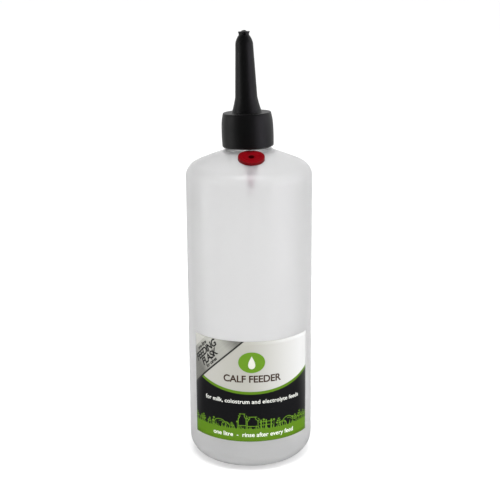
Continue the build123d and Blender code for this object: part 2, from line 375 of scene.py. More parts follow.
teat_inside = joined(
    line((MILK_HOLE_R, NIB_TOP_Z - 0.4), (MILK_HOLE_R, HOLLOW_END_Z + 0.3), 6),
    line((MILK_HOLE_R + 0.2, HOLLOW_END_Z), (HOLLOW_TOP_R, CONE_TOP_Z - 4.2), 8),
    line((HOLLOW_TOP_R, CONE_TOP_Z - 4.3), (HOLLOW_FOOT_R, FLARE_TOP_Z + 0.5), 12),
    line((FLARE_HOLLOW_R - 0.1, COLLAR_TOP_Z + 0.5), (FLARE_HOLLOW_R, SOCKET_ROOF_Z + 0.2), 4),
    line((FLARE_HOLLOW_R + 0.2, SOCKET_ROOF_Z), (SOCKET_R - 0.3, SOCKET_ROOF_Z), 4),
    line((SOCKET_R, SOCKET_ROOF_Z - 0.3), (SOCKET_R, COLLAR_BOTTOM_Z + 0.5), 10),
)
teat_outline = joined(teat_outside, teat_inside, teat_outside[:1])
print("teat outline has", len(teat_outline), "points")

# %% Turn it, roughen the cut nib, and tilt it
round_teat = np.linspace(0, 2 * pi, 96, endpoint=False)
teat_grid = turned(teat_outline, round_teat)
r, z = teat_outline[:, 0][:, None], teat_outline[:, 1][:, None]

# the hand-cut rim: a small horn at each side, a hump that is highest at the front right, small waves
RIGHT_HORN, LEFT_HORN, HORN_WIDTH, HORN_REACH = 0.05, pi + 0.1, 0.3, 0.42
HUMP_AT, HUMP_WIDTH = 4.95, 1.1
outer = (np.arange(len(teat_outline)) < len(teat_outside))[:, None]
at_rim = smooth_step((z - NIB_FOOT_Z - 1) / 1.4) * outer * smooth_step((r - 2) / 1.2)
horns = sum(swell(round_teat, at, HORN_WIDTH) for at in (RIGHT_HORN, LEFT_HORN, 2 * pi + RIGHT_HORN))
hump = swell(round_teat, HUMP_AT, HUMP_WIDTH)
waves = 0.05 * np.sin(7 * round_teat + 1) + 0.04 * np.sin(13 * round_teat)
grow = at_rim * (HORN_REACH * horns + waves)
teat_grid[..., 0] += grow * np.cos(round_teat)
teat_grid[..., 1] += grow * np.sin(round_teat)
cap = smooth_step((z - NIB_RIM_Z + 0.4) / 0.5) * outer
inwards = smooth_step((3.3 - r) / 1.5)
teat_grid[..., 2] += cap * (0.1 * horns * (1 - inwards) + inwards * (0.35 * hump - 0.3) + waves)

# a round dimple on the nib's front, with a low lip round it
DIMPLE_DEPTH, DIMPLE_R = 0.9, 0.95
LIP_HEIGHT, LIP_R, LIP_WIDTH = 0.22, 1.3, 0.3
nib_front = np.array([0.25, -NIB_R + 0.1, NIB_FOOT_Z + 1.2])
from_dimple = np.linalg.norm((teat_grid - nib_front) * np.array([1, 0.5, 1]), axis=-1)
dent = DIMPLE_DEPTH * (1 - smooth_step(from_dimple / DIMPLE_R))
dent -= LIP_HEIGHT * swell(from_dimple, LIP_R, LIP_WIDTH)
teat_grid[..., 1] += dent * outer * (round_teat > pi)

# the lean: all of it outside, nothing at the socket, and a growing share up the hollow and out along
# the collar's underside
share = np.where(outer, 1.0, smooth_step((z - SOCKET_ROOF_Z) / 4))
share = np.where(z < COLLAR_BOTTOM_Z + 0.01, smooth_step((r - SOCKET_R - 0.3) / 1.4), share)
pivot = np.array([0.0, 0.0, LEAN_ABOUT_Z])
turn_left = np.array(
    [[cos(LEAN_LEFT), 0, -sin(LEAN_LEFT)], [0, 1, 0], [sin(LEAN_LEFT), 0, cos(LEAN_LEFT)]]
)
turn_back = np.array(
    [[1, 0, 0], [0, cos(LEAN_BACK), sin(LEAN_BACK)], [0, -sin(LEAN_BACK), cos(LEAN_BACK)]]
)
leaning = (teat_grid - pivot) @ (turn_back @ turn_left).T + pivot
leaning[..., 0] -= SHIFT_LEFT
teat_grid += share[..., None] * (leaning - teat_grid)
teat = piece_of_grid("rubber_teat", teat_grid)

# %% [markdown]
# ## The air valve
#
# The valve lets air in as milk leaves. It is a red rubber button with a hole in its middle, a stem through
# the shoulder, and a flattened bill inside whose lips close when milk pushes on them. The outline is turned
# about the valve's own axis, and three things then depart from round: the underside of the flange follows
# the shoulder, its inner edge is pressed flat by the neck's foot, and the stem narrows sideways to the bill.

# %% Sizes of the valve
FLANGE_R = 8.95
FLANGE_TOP = 2.0
STEM_R = 4.35
VALVE_BORE_R = 2.1
BILL_START = 7.0
BILL_TIP = 26.0
SEAT_GAP = 0.06
SQUEEZED_R = 7.0
LIP_THICKNESS = 0.8
LIP_SLIT = 0.15

# %% The valve's outline
valve_outline = joined(
    arc((VALVE_BORE_R + 0.5, FLANGE_TOP - 1.0), 0.5, 180, 70, 6),
    bulged((VALVE_BORE_R + 0.8, FLANGE_TOP - 0.52), (FLANGE_R - 3.2, FLANGE_TOP - 0.35), -0.06, 10),
    bulged((FLANGE_R - 3.0, FLANGE_TOP - 0.25), (FLANGE_R - 2.2, FLANGE_TOP), 0.05, 4),
    line((FLANGE_R - 2.0, FLANGE_TOP + 0.02), (FLANGE_R - 0.6, FLANGE_TOP), 5),
    arc((FLANGE_R - 0.45, FLANGE_TOP - 0.45), 0.45, 85, 0, 7),
    line((FLANGE_R, FLANGE_TOP - 0.55), (FLANGE_R, 0.3), 5),
    arc((FLANGE_R - 0.3, 0.3), 0.3, 0, -90, 5),
    line((FLANGE_R - 0.4, 0), (STEM_R, 0), 9),
    line((STEM_R, -1), (STEM_R, -BILL_START), 8),
    line((STEM_R, -BILL_START - 0.5), (STEM_R, -BILL_TIP + 0.4), 26),
    arc((STEM_R - 0.4, -BILL_TIP + 0.4), 0.4, 0, -90, 4),
    line((VALVE_BORE_R + 1.0, -BILL_TIP), (VALVE_BORE_R + 0.3, -BILL_TIP + 0.4), 3),
    line((VALVE_BORE_R, -BILL_TIP + 1), (VALVE_BORE_R, -BILL_START), 20),
    line((VALVE_BORE_R, -BILL_START + 0.5), (VALVE_BORE_R, FLANGE_TOP - 1.2), 8),
)
valve_outline = joined(valve_outline, valve_outline[:1])
print("the valve's outline has", len(valve_outline), "points")
valve_turns = np.linspace(0, 2 * pi, 80, endpoint=False)
valve_local = turned(valve_outline, valve_turns)

# %% The three departures from round
tilt = VALVE_AXIS.angle(Vector((0, 0, 1)))
out_r, out_z = valve_outline[:, 0][:, None], valve_outline[:, 1][:, None]

# 1. the neck's foot stops the flange, where the ray at each angle meets a circle round the bottle's axis,
# and squeezes the half near it to an oval
stop = NECK_FOOT_R + SEAT_GAP
toward_neck, seat_r = np.sin(valve_turns) * cos(tilt), VALVE_AT_R + out_z * sin(tilt)
spread = toward_neck**2 + np.cos(valve_turns) ** 2
inside_root = seat_r**2 * toward_neck**2 - spread * (seat_r**2 - stop**2)
reach = (seat_r * toward_neck - np.sqrt(np.maximum(inside_root, 0))) / spread
stopped = (inside_root > 0) & (toward_neck > 0) & (reach < FLANGE_R)
squeezed = (np.cos(valve_turns) / FLANGE_R) ** 2 + (np.sin(valve_turns) / SQUEEZED_R) ** 2
flange_r = np.where(toward_neck > 0, squeezed**-0.5, FLANGE_R)
flange_r = np.minimum(np.where(stopped, reach, FLANGE_R), flange_r)
beyond_stem = np.maximum(out_r - STEM_R, 0) / (FLANGE_R - STEM_R)
new_r = np.where(out_r > STEM_R, STEM_R + beyond_stem * (flange_r - STEM_R), out_r)
valve_local[..., :2] *= (new_r / out_r)[..., None]

# 2. the bill narrows sideways, in a straight line from its start to its lips
narrowing = np.clip((-out_z - BILL_START) / (BILL_TIP - BILL_START), 0, 1)
is_bore = out_r < VALVE_BORE_R + 0.35
lip_share = np.where(is_bore, LIP_SLIT / VALVE_BORE_R, LIP_THICKNESS / STEM_R)
valve_local[..., 0] *= 1 - narrowing * (1 - lip_share)
valve_grid = on_valve(valve_local)

# 3. the flange's underside lies on the shoulder, and its upper half stays flat
over_seat = valve_grid[..., 2] - dome_z(np.linalg.norm(valve_grid[..., :2], axis=-1), SEAT_GAP)
settle = np.clip(1 - out_z / (0.5 * FLANGE_TOP), 0, 1) * ((out_r > STEM_R + 0.05) & (out_z > -0.05))
valve_grid[..., 2] -= over_seat * settle
valve = piece_of_grid("rubber_air_valve", valve_grid)

# %% [markdown]
# ## The label
#
# The label is a film wrapped round the front of the wall. It is a grid of arc length by height, bent to the
# wall's radius, with its own UV map so that the print can be drawn flat. Solidify gives the film its
# thickness inwards.

# %% Sizes of the label, and how flat artwork is wrapped
label_low, label_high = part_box("front_label")
LABEL_FILM = 0.15
LABEL_BOTTOM_Z = label_low.z / MM
LABEL_HEIGHT = (label_high.z - label_low.z) / MM
LABEL_FROM, LABEL_TO = radians(-60.1), radians(62.2)
LABEL_R = BODY_R + LABEL_FILM
LABEL_WIDTH = (LABEL_TO - LABEL_FROM) * LABEL_R
LABEL_MIDDLE = (LABEL_FROM + LABEL_TO) / 2

GREEN_BAND_TOP = 9.3
BADGE_ACROSS, BADGE_UP = 0.2, 57.4
RIBBON_TILT = radians(42.0)
RIBBON_LOW, RIBBON_HIGH = 57.0, 76.8


def wrapped(across, up, lift=0.0):
    """Flat label places, across from its middle and up from its bottom, bent round the bottle: the angle
    is the distance across divided by the label's radius."""
    angle = LABEL_MIDDLE + np.asarray(across) / LABEL_R
    radius = LABEL_R + lift
    height = LABEL_BOTTOM_Z + np.asarray(up)
    return np.stack([radius * np.sin(angle), -radius * np.cos(angle), height + 0 * angle], axis=-1)


# %% The film
across_01, up_01 = np.meshgrid(np.linspace(0, 1, 97), np.linspace(0, 1, 25))
film_grid = wrapped((across_01 - 0.5) * LABEL_WIDTH, up_01 * LABEL_HEIGHT)
label = piece_of_grid("label_film", film_grid, False, np.stack([across_01, up_01], axis=-1))
film = label.modifiers.new("film", "SOLIDIFY")
film.thickness, film.offset = (LABEL_FILM - 0.01) * MM, -1.0
print("the label is", round(LABEL_WIDTH, 1), "by", round(LABEL_HEIGHT, 1), "mm")

# %% [markdown]
# ## Ink on the label
#
# Lettering, the badge and the hedge are ink. Each colour is a thin wrapped mesh just proud of the film, so
# its edge stays crisp from close by. Flat shapes are made on the label's plane, sliced into narrow upright
# strips so that they can bend, and then wrapped. The words are plain generic ones.

# %% Flat shapes into wrapped ink
INK_LIFT = 0.02
STRIP = 1.2


def flat_mesh_of(name, shapes):
    """One flat mesh from several (points, faces) shapes."""
    points, faces, start = [], [], 0
    for shape_points, shape_faces in shapes:
        points.append(shape_points)
        faces += [[start + i for i in face] for face in shape_faces]
        start += len(shape_points)
    flat = np.concatenate(points)
    mesh = bpy.data.meshes.new(name)
    mesh.from_pydata(np.column_stack([flat, np.zeros(len(flat))]).tolist(), [], faces)
    return mesh


def ink_piece(name, shapes, coats=1):
    """Joins flat shapes, slices them with upright planes, one every STRIP, and bends their points round the
    bottle, as many coats of ink above the film as they are printed over."""
    flat_mesh = flat_mesh_of(name, shapes)
    bm = bmesh.new()
    bm.from_mesh(flat_mesh)
    low, high = min(v.co.x for v in bm.verts), max(v.co.x for v in bm.verts)
    for x in np.arange(low + STRIP, high, STRIP):
        everything = bm.verts[:] + bm.edges[:] + bm.faces[:]
        bmesh.ops.bisect_plane(bm, geom=everything, plane_co=(x, 0, 0), plane_no=(1, 0, 0))
    bm.to_mesh(flat_mesh)
    bm.free()
    flat = np.zeros(len(flat_mesh.vertices) * 3, np.float32)
    flat_mesh.vertices.foreach_get("co", flat)
    flat = flat.reshape(-1, 3)
    flat_mesh.vertices.foreach_set("co", (wrapped(flat[:, 0], flat[:, 1], INK_LIFT * coats) * MM).ravel())
    print(name, "has", len(flat_mesh.polygons), "faces")
    return new_object(name, flat_mesh)


def turn_by(angle):
    """The matrix that turns flat points anticlockwise by an angle: rows (cos, -sin) and (sin, cos)."""
    return np.array([[cos(angle), -sin(angle)], [sin(angle), cos(angle)]])


def flat_words(words, size, across, up, tilt=0.0, weight=0.0, spacing=1.0, slant=0.0):
    """The filled outline of some words on the label's plane, their middle at (across, up), as an array of
    points and a list of faces. The line of words is turned by tilt, the weight grows each outline by that
    many millimetres, the spacing multiplies the gaps, and the slant leans the letters like italics."""
    curve = bpy.data.curves.new(words, "FONT")
    curve.body, curve.size, curve.offset, curve.space_character = words, size, weight, spacing
    curve.align_x = curve.align_y = "CENTER"
    curve.shear = slant
    writer = new_object(words, curve)
    written = bpy.data.meshes.new_from_object(writer.evaluated_get(bpy.context.evaluated_depsgraph_get()))
    bpy.data.objects.remove(writer)
    points = np.array([v.co for v in written.vertices])[:, :2]
    faces = [list(p.vertices) for p in written.polygons]
    return points @ turn_by(tilt).T + np.array([across, up]), faces


# %% Strokes and round spots
def stroke(path, widths):
    """A ribbon of four-sided faces along a path of points: each side lies half the width off the path,
    square to its direction."""
    path = np.asarray(path, float)
    widths = np.broadcast_to(widths, len(path))
    along = np.gradient(path, axis=0)
    along /= np.linalg.norm(along, axis=1)[:, None]
    beside = np.stack([-along[:, 1], along[:, 0]], axis=1) * (widths / 2)[:, None]
    points = np.concatenate([path + beside, path - beside])
    n = len(path)
    return points, [[i, i + 1, n + i + 1, n + i] for i in range(n - 1)]


def oval(across, up, half_width, half_height, count=40):
    """A filled oval as one face, its rim half_width cos t across and half_height sin t up."""
    t = np.linspace(0, 2 * pi, count, endpoint=False)
    rim = np.stack([across + half_width * np.cos(t), up + half_height * np.sin(t)], axis=1)
    return rim, [list(range(count))]


def bent(start, end, bend, count=9):
    """A curved path from start to end, pushed to its left by bend times 4t (1 - t)."""
    t = np.linspace(0, 1, count)[:, None]
    return line(start, end, count) + bend * 4 * t * (1 - t) * left_of(start, end)


# %% Brown ink: the words under the badge
brown_words = flat_words("CALF FEEDER", 6.9, 0.4, 45.3, weight=0.17, spacing=0.98)
brown_ink = ink_piece("brown_ink", [brown_words])

# %% White ink: the lines on the black and on the green
white_shapes = [
    flat_words("for milk, colostrum and electrolyte feeds", 4.15, 0.8, 29.0, weight=0.05, spacing=1.03),
    flat_words("one litre  -  rinse after every feed", 4.4, 1.6, 4.8, weight=0.07),
]
white_ink = ink_piece("white_ink", white_shapes)


# %% Black ink: the ribbon's words, along the ribbon
def on_ribbon(along, above):
    """A place on the label, from a distance along the ribbon and one up from its lower edge."""
    return turn_by(RIBBON_TILT) @ np.array([along, RIBBON_LOW + above])


RIBBON_SPACING = 0.92
RIBBON_SLANT = 0.25
RIBBON_MIDDLE = 14.2
ribbon_lines = [
    ("one litre", 3.6, 16.9, 0.1),
    ("FEEDING", 6.6, 12.3, 0.22),
    ("FLASK", 6.6, 7.0, 0.22),
    ("for calves", 3.3, 3.2, 0.1),
]
ribbon_shapes = []
for words, size, above, weight in ribbon_lines:
    across, up = on_ribbon(RIBBON_MIDDLE + size / 6, above)
    ribbon_shapes.append(
        flat_words(words, size, across, up, RIBBON_TILT, weight, RIBBON_SPACING, RIBBON_SLANT)
    )
black_ink = ink_piece("black_ink", ribbon_shapes)


# %% Green ink: shapes of the hedge
def leaf(foot, tip, half_width, count=7):
    """A pointed leaf as one face: out along one side and back along the other, each side bulging by
    half_width times a half sine wave."""
    t = np.linspace(0, 1, count)[:, None]
    middle, bulge = line(foot, tip, count), half_width * np.sin(pi * t) * left_of(foot, tip)
    rim = np.concatenate([middle - bulge, (middle + bulge)[-2:0:-1]])
    return rim, [list(range(len(rim)))]


def sprig(foot, height, lean, pairs=3):
    """A stem with pairs of leaves that get shorter towards its tip."""
    start, end = np.array([foot, GREEN_BAND_TOP - 0.3]), np.array([foot + lean, GREEN_BAND_TOP + height])
    shapes = [stroke(bent(start, end, 0.4 * lean), np.linspace(0.45, 0.2, 9))]
    for share in np.linspace(0.35, 0.85, pairs):
        node, reach = start + share * (end - start), 0.42 * height * (1.25 - share)
        for side in (-1, 1):
            tip = node + reach * np.array([0.8 * side, 0.62])
            shapes.append(leaf(node + 0.15 * (tip - node), tip, 0.16 * reach + 0.2))
    return shapes


def churn(across, width, height):
    """The outline of a milk churn: a straight body, a sloping shoulder, a neck, a lid and two handles."""
    foot, half = GREEN_BAND_TOP - 0.2, width / 2
    in_halves = np.array([(-1, 0), (-1, 0.62), (-0.55, 0.78), (-0.55, 0.9)])
    left = in_halves * np.array([half, height]) + np.array([across, foot])
    right = left * np.array([-1, 1]) + np.array([2 * across, 0])
    lid_up, hoop_up = foot + 0.93 * height, foot + 0.22 * height
    lid = [(across - 0.8 * half, lid_up), (across + 0.8 * half, lid_up)]
    hoop = [(across - half, hoop_up), (across + half, hoop_up)]
    loop = (0.22 * half, 0.1 * height)
    handles = [arc((across + side * half, foot + 0.72 * height), loop, -100, 100, 9) for side in (-1, 1)]
    return [stroke(path, 0.5) for path in (left, right, lid, hoop, *handles)]


# %% Green ink: the badge, and blades of grass all along the band
rng = np.random.default_rng(12)
BLADE_STEP = 1.3
GRASS_HALF = 45.3
green_shapes = [oval(BADGE_ACROSS, BADGE_UP, 9.2, 7.4, 56)]
for even_foot in np.arange(-GRASS_HALF, GRASS_HALF + 0.3, BLADE_STEP):
    foot = even_foot + rng.uniform(-0.4, 0.4)
    tip = (foot + rng.uniform(-1.4, 1.4), GREEN_BAND_TOP + rng.uniform(1.2, 3.6))
    blade = bent((foot, GREEN_BAND_TOP - 0.3), tip, rng.uniform(-0.6, 0.6), 5)
    green_shapes.append(stroke(blade, np.linspace(0.6, 0.1, 5)))
print("the badge and the grass are", len(green_shapes), "shapes")

# %% Green ink: sprigs, bushes, churns, a rail fence and flowers
SPRIGS = [(-44.2, 6.0, -0.8), (-40.6, 5.2, 1.4), (-36.6, 6.2, -1.0), (-32.4, 5.0, 1.2), (-13.2, 4.6, -1.0)]
SPRIGS += [(18.6, 6.6, 0.8), (34.0, 6.0, -1.0), (37.4, 7.6, 0.6), (41.0, 6.4, 1.4), (44.4, 5.2, 0.3)]
BUSHES = [(-23.0, 4.6, 3.6), (-18.4, 3.0, 2.6), (26.6, 4.6, 4.0), (22.6, 2.6, 2.4)]
CHURNS = [(-6.6, 5.4, 12.0), (0.6, 7.4, 9.6)]
POSTS, POST_HEIGHT, RAILS = (6.4, 10.0, 13.6), 6.6, (2.4, 4.8)
FLOWERS = [(-27.8, 5.6), (-28.6, 3.4), (8.2, 6.6), (15.6, 5.8), (31.0, 4.6), (-10.0, 5.2)]
for foot, height, lean in SPRIGS:
    green_shapes += sprig(foot, height, lean)
for across, half_width, half_height in BUSHES:
    bush_up = GREEN_BAND_TOP + 0.55 * half_height
    green_shapes.append(stroke(arc((across, bush_up), (half_width, half_height), -30, 210, 25), 0.5))
    inner = arc((across + 0.6, bush_up + 0.2), (0.6 * half_width, 0.6 * half_height), 10, 120, 11)
    green_shapes.append(stroke(inner, 0.35))
for across, width, height in CHURNS:
    green_shapes += churn(across, width, height)
for across in POSTS:
    post = [(across, GREEN_BAND_TOP - 0.2), (across, GREEN_BAND_TOP + POST_HEIGHT)]
    green_shapes.append(stroke(post, 0.9))
for rail_up in RAILS:
    rail = bent((5.2, GREEN_BAND_TOP + rail_up), (14.8, GREEN_BAND_TOP + rail_up + 0.3), 0.15)
    green_shapes.append(stroke(rail, 0.55))
for across, flower_up in FLOWERS:
    green_shapes.append(oval(across, GREEN_BAND_TOP + flower_up, 0.85, 0.7, 10))
    green_shapes.append(stroke([(across, GREEN_BAND_TOP), (across, GREEN_BAND_TOP + flower_up)], 0.3))
green_ink = ink_piece("green_ink", green_shapes)
print("with the hedge there are", len(green_shapes), "shapes")


# %% Cream ink: a milk drop on the badge
def milk_drop(across, up, half_width, half_height, count=60):
    """A drop as one face: half_width sin t (sin t/2)^1.3 across and half_height cos t up, t going round."""
    t = np.linspace(0, 2 * pi, count, endpoint=False)
    rim_across = across + half_width * np.sin(t) * np.sin(t / 2) ** 1.3
    rim = np.stack([rim_across, up + half_height * np.cos(t)], axis=1)
    return rim, [list(range(count))[::-1]]


cream_ink = ink_piece("cream_ink", [milk_drop(BADGE_ACROSS, BADGE_UP, 3.3, 4.6)], coats=2)

# %% [markdown]
# ## Shader maths as plain arithmetic
#
# A finish is worked out by nodes. To keep that readable, one small class wraps an output socket, so that
# adding or multiplying two of them adds a Math node, and a second class makes a material and its nodes.


# %% Wires, recipes and finishes
class Wire:
    """The output socket of a node. Each operator adds one Math node and returns its output."""

    def __init__(self, finish, socket):
        self.finish, self.socket = finish, socket

    def math(self, operation, *others):
        inputs = dict(enumerate((self, *others)))
        return self.finish.node("ShaderNodeMath", {"operation": operation}, inputs)

    def __add__(self, other):
        return self.math("ADD", other)

    def __mul__(self, other):
        return self.math("MULTIPLY", other)

    def __sub__(self, other):
        return self.math("SUBTRACT", other)

    def __rsub__(self, other):
        return self.finish.node("ShaderNodeMath", {"operation": "SUBTRACT"}, {0: other, 1: self})

    def __truediv__(self, other):
        return self.math("DIVIDE", other)

    def __pow__(self, other):
        return self.math("POWER", other)

    __radd__, __rmul__ = __add__, __mul__

    def above(self, level, softness):
        """0 well below a level and 1 well above it, with a straight ramp of that width between."""
        return ((self - level) / softness + 0.5).math("MAXIMUM", 0.0).math("MINIMUM", 1.0)

    def between(self, low, high, softness):
        """1 between two levels and 0 outside them."""
        return self.above(low, softness) * (1 - self.above(high, softness))


class Recipe:
    """A node tree, and one method that adds any node to it."""

    def __init__(self, owner):
        owner.use_nodes = True
        self.tree = owner.node_tree
        self.tree.nodes.clear()

    def node(self, kind, settings=None, inputs=None, output=0):
        """Adds a node: its settings first, then a value or a link on each named or numbered socket."""
        made = self.tree.nodes.new(kind)
        for name, value in (settings or {}).items():
            setattr(made, name, value)
        for key, value in (inputs or {}).items():
            if isinstance(value, Wire):
                self.tree.links.new(value.socket, made.inputs[key])
            else:
                made.inputs[key].default_value = value
        return Wire(self, made.outputs[output]) if made.outputs else None

    def part(self, vector, index):
        """The x, y or z of a vector, for an index of 0, 1 or 2."""
        return self.node("ShaderNodeSeparateXYZ", {}, {0: vector}, index)

    def ray(self, kind):
        """1 for a ray of a kind, such as Camera or Glossy, and 0 for any other."""
        return self.node("ShaderNodeLightPath", output="Is " + kind + " Ray")


class Finish(Recipe):
    """A material made by a recipe that ends in one Principled shader."""

    def __init__(self, name):
        self.material = bpy.data.materials.new(name)
        super().__init__(self.material)

    def place(self):
        """Object coordinates, which on these pieces are metres in the object's own frame."""
        return self.node("ShaderNodeTexCoord", output="Object")

    def noise(self, scale, detail=2.0, stretch=(1, 1, 1), roughness=0.5, vector=None):
        """Noise from 0 to 1 with that many waves per metre, stretched along the axes."""
        vector = vector or self.place()
        mapped = self.node("ShaderNodeMapping", {}, {"Vector": vector, "Scale": stretch})
        inputs = {"Vector": mapped, "Scale": scale, "Detail": detail, "Roughness": roughness}
        return self.node("ShaderNodeTexNoise", {}, inputs)

    def mix(self, factor, a, b):
        """The colour a where the factor is 0, and b where it is 1."""
        settings = {"data_type": "RGBA", "clamp_factor": True}
        return self.node("ShaderNodeMix", settings, {0: factor, 6: a, 7: b}, 2)

    def bump(self, height, depth, normal=None):
        """Turns a height from 0 to 1 into a tilt of the surface, for relief that is depth metres high."""
        inputs = {"Height": height, "Distance": depth, "Strength": 1.0}
        if normal:
            inputs["Normal"] = normal
        return self.node("ShaderNodeBump", {}, inputs)

    def surface(self, **sockets):
        """The Principled shader at the end. Names have underscores for spaces."""
        inputs = {name.replace("_", " "): value for name, value in sockets.items()}
        shader = self.node("ShaderNodeBsdfPrincipled", {}, inputs)
        self.node("ShaderNodeOutputMaterial", {}, {"Surface": shader})
        print("finish", self.material.name, "uses", len(self.tree.nodes), "nodes")
        return self.material


def colour(red, green, blue):
    """A colour given as screen values from 0 to 255, in the linear light that shaders work in: each value
    over 255, plus 0.055, over 1.055, to the power 2.4."""
    return (*(((v / 255 + 0.055) / 1.055) ** 2.4 for v in (red, green, blue)), 1.0)


# %% [markdown]
# ## Natural polyethylene
#
# Without pigment this plastic is milky: most light is scattered back, and some comes through the wall, so
# the valve's stem inside shows as a soft blur. Rough transmission over a real 1.1 mm wall does that; the
# blur's mauve is a painted tint on the stem.
# The blown surface has a faint orange peel and drawn-out upright waves, which only the highlights show.

# %% The bottle's finish
plastic = Finish("natural_polyethylene")
peel = plastic.noise(420, 3.0)
drawn = plastic.noise(60, 2.0, (1, 1, 0.12))
scuffs = plastic.noise(900, 6.0, (1, 1, 0.25), 0.65).above(0.62, 0.12)
cloud = plastic.noise(22, 3.0)
natural = plastic.mix(cloud, colour(238, 238, 238), colour(242, 242, 242))
plastic_finish = plastic.surface(
    Base_Color=natural,
    Roughness=0.3 + drawn * 0.05 + scuffs * 0.08,
    IOR=1.5,
    Transmission_Weight=0.79,
    Normal=plastic.bump(drawn, 0.00012, plastic.bump(peel, 0.00001)),
)

# %% [markdown]
# ## Rubbers
#
# The teat is black rubber, moulded against a fine matt mould, so it takes soft, wide highlights. Handling
# leaves patches that are a little shinier. The valve is a smoother red rubber with a slight gloss. Its stem
# and bill, inside the bottle, are painted a pale mauve tint, a painted stand-in for the stem's shade as it
# shows through the milky wall; how far a point lies along the valve's axis decides where the tint begins.

# %% The teat's finish
black = Finish("black_rubber")
grain = black.noise(2600, 3.0)
handled = black.noise(110, 4.0)
dust = black.noise(1500, 5.0, roughness=0.6).above(0.7, 0.08)
black_finish = black.surface(
    Base_Color=black.mix(dust * 0.4, colour(3, 3, 4), colour(34, 33, 33)),
    Roughness=0.40 + handled * 0.16 + dust * 0.15,
    IOR=1.45,
    Normal=black.bump(handled, 0.00018, black.bump(grain, 0.000012)),
)

# %% The valve's finish
red = Finish("red_rubber")
mottle = red.noise(260, 4.0)
toward_seat = red.node(
    "ShaderNodeVectorMath",
    {"operation": "DOT_PRODUCT"},
    {0: red.place(), 1: tuple(VALVE_AXIS)},
    "Value",
)
# Painted tint: the stem and bill inside the bottle are painted pale mauve, standing in for the stem's shade
# seen through the milky wall.
PAINTED_TINT_BELOW_SEAT = 0.003
PAINTED_TINT_EDGE = 0.004
PAINTED_TINT_SHARE = 0.42
seat_along_axis = valve_seat.dot(VALVE_AXIS) * MM
painted_through_wall_tint = 1 - toward_seat.above(seat_along_axis - PAINTED_TINT_BELOW_SEAT, PAINTED_TINT_EDGE)
rubber_red = red.mix(mottle, colour(102, 0, 8), colour(128, 2, 15))
red_finish = red.surface(
    Base_Color=red.mix(painted_through_wall_tint * PAINTED_TINT_SHARE, rubber_red, colour(176, 110, 168)),
    Roughness=0.33 + mottle * 0.12,
    IOR=1.5,
    Specular_IOR_Level=0.13,
    Subsurface_Weight=0.1,
    Subsurface_Radius=(0.004, 0.001, 0.001),
    Subsurface_Scale=0.5,
    Normal=red.bump(red.noise(1800, 3.0), 0.000015),
)

# %% [markdown]
# ## The printed film
#
# The label's large areas are printed, so they are colour only, apart from painted light: the cream is painted
# lighter towards the sides and the ribbon's lighter middle is a painted sheen. The film's UV map runs once
# across it and once up it; scaled to millimetres, each printed area is a distance compared with a level. A
# sloping band looks like metal with fine brushing streaks, and a circle of large radius gives the sagging
# edge of the black area.

# %% Distances on the label, in millimetres
print_art = Finish("printed_film")
uv = print_art.node("ShaderNodeUVMap", {"uv_map": "print"})
across = print_art.part(uv, 0) * LABEL_WIDTH - LABEL_WIDTH / 2
up = print_art.part(uv, 1) * LABEL_HEIGHT

ARC_CENTRE_UP = 135.4
ARC_R = 100.0
GREEN_LINE = 2.0
RIBBON_LINE = 1.1
from_arc_centre = (across**2 + (up - ARC_CENTRE_UP) ** 2) ** 0.5
ribbon_distance = up * cos(RIBBON_TILT) - across * sin(RIBBON_TILT)
ribbon_along = across * cos(RIBBON_TILT) + up * sin(RIBBON_TILT)

# %% The printed areas
EDGE = 0.12
GREEN = colour(92, 134, 4)
# Painted light: the cream is painted lighter towards the right side and a little at the far left, where the
# sides catch more light, and stays darker in the middle.
painted_side_light = across.above(18, 40) + (0 - across).above(28, 36) * 0.3
cream = print_art.mix(painted_side_light, colour(180, 179, 170), colour(220, 220, 219))
art = print_art.mix(from_arc_centre.above(ARC_R - GREEN_LINE / 2, EDGE), cream, GREEN)
art = print_art.mix(from_arc_centre.above(ARC_R + GREEN_LINE / 2, EDGE), art, colour(20, 20, 22))
art = print_art.mix(up.above(GREEN_BAND_TOP, EDGE), GREEN, art)

streaks = print_art.noise(
    1.0,
    4.0,
    (0.02, 2.2, 1.0),
    vector=print_art.node("ShaderNodeCombineXYZ", {}, {0: ribbon_along, 1: ribbon_distance}),
)
# Painted sheen: the ribbon is painted lighter along its middle stretch, as if it reflected light; the streaks
# along it are a fine pattern in the print.
sheen = ribbon_along.between(9, 35, 9)
ribbon_with_painted_sheen = print_art.mix(sheen * 0.75 + streaks * 0.5 - 0.1, colour(98, 98, 93), colour(174, 174, 166))
in_ribbon = ribbon_distance.between(RIBBON_LOW, RIBBON_HIGH, EDGE)
dark_line = ribbon_distance.between(RIBBON_LOW, RIBBON_LOW + RIBBON_LINE, EDGE)
art = print_art.mix(in_ribbon, art, ribbon_with_painted_sheen)
art = print_art.mix(dark_line, art, colour(38, 37, 35))
print_finish = print_art.surface(
    Base_Color=art,
    Roughness=0.3,
    Coat_Weight=0.3,
    Coat_Roughness=0.12,
    Normal=print_art.bump(print_art.noise(90, 2.0), 0.00003),
)


# %% The inks
def ink(name, tint):
    """A printed ink: nearly flat colour, a little thinner and lighter in places."""
    wet = Finish(name)
    lighter = tuple(min(1.0, c * 1.12 + 0.004) for c in tint[:3]) + (1.0,)
    return wet.surface(
        Base_Color=wet.mix(wet.noise(700, 3.0), tint, lighter),
        Roughness=0.3 + wet.noise(500, 2.0) * 0.06,
        Coat_Weight=0.3,
        Coat_Roughness=0.12,
    )


ink_finishes = {
    brown_ink: ink("ink_brown", colour(60, 38, 26)),
    white_ink: ink("ink_white", colour(238, 240, 232)),
    black_ink: ink("ink_black", colour(16, 15, 15)),
    green_ink: ink("ink_green", colour(98, 144, 6)),
    cream_ink: ink("ink_cream", colour(214, 214, 205)),
}

# %% [markdown]
# ## Fitting the pieces to the model
#
# Each piece gets its finish, rides on the body that carries it, and stands for the plain CAD node of the
# same place. The ink rides with the bottle, because the label is stuck to it.

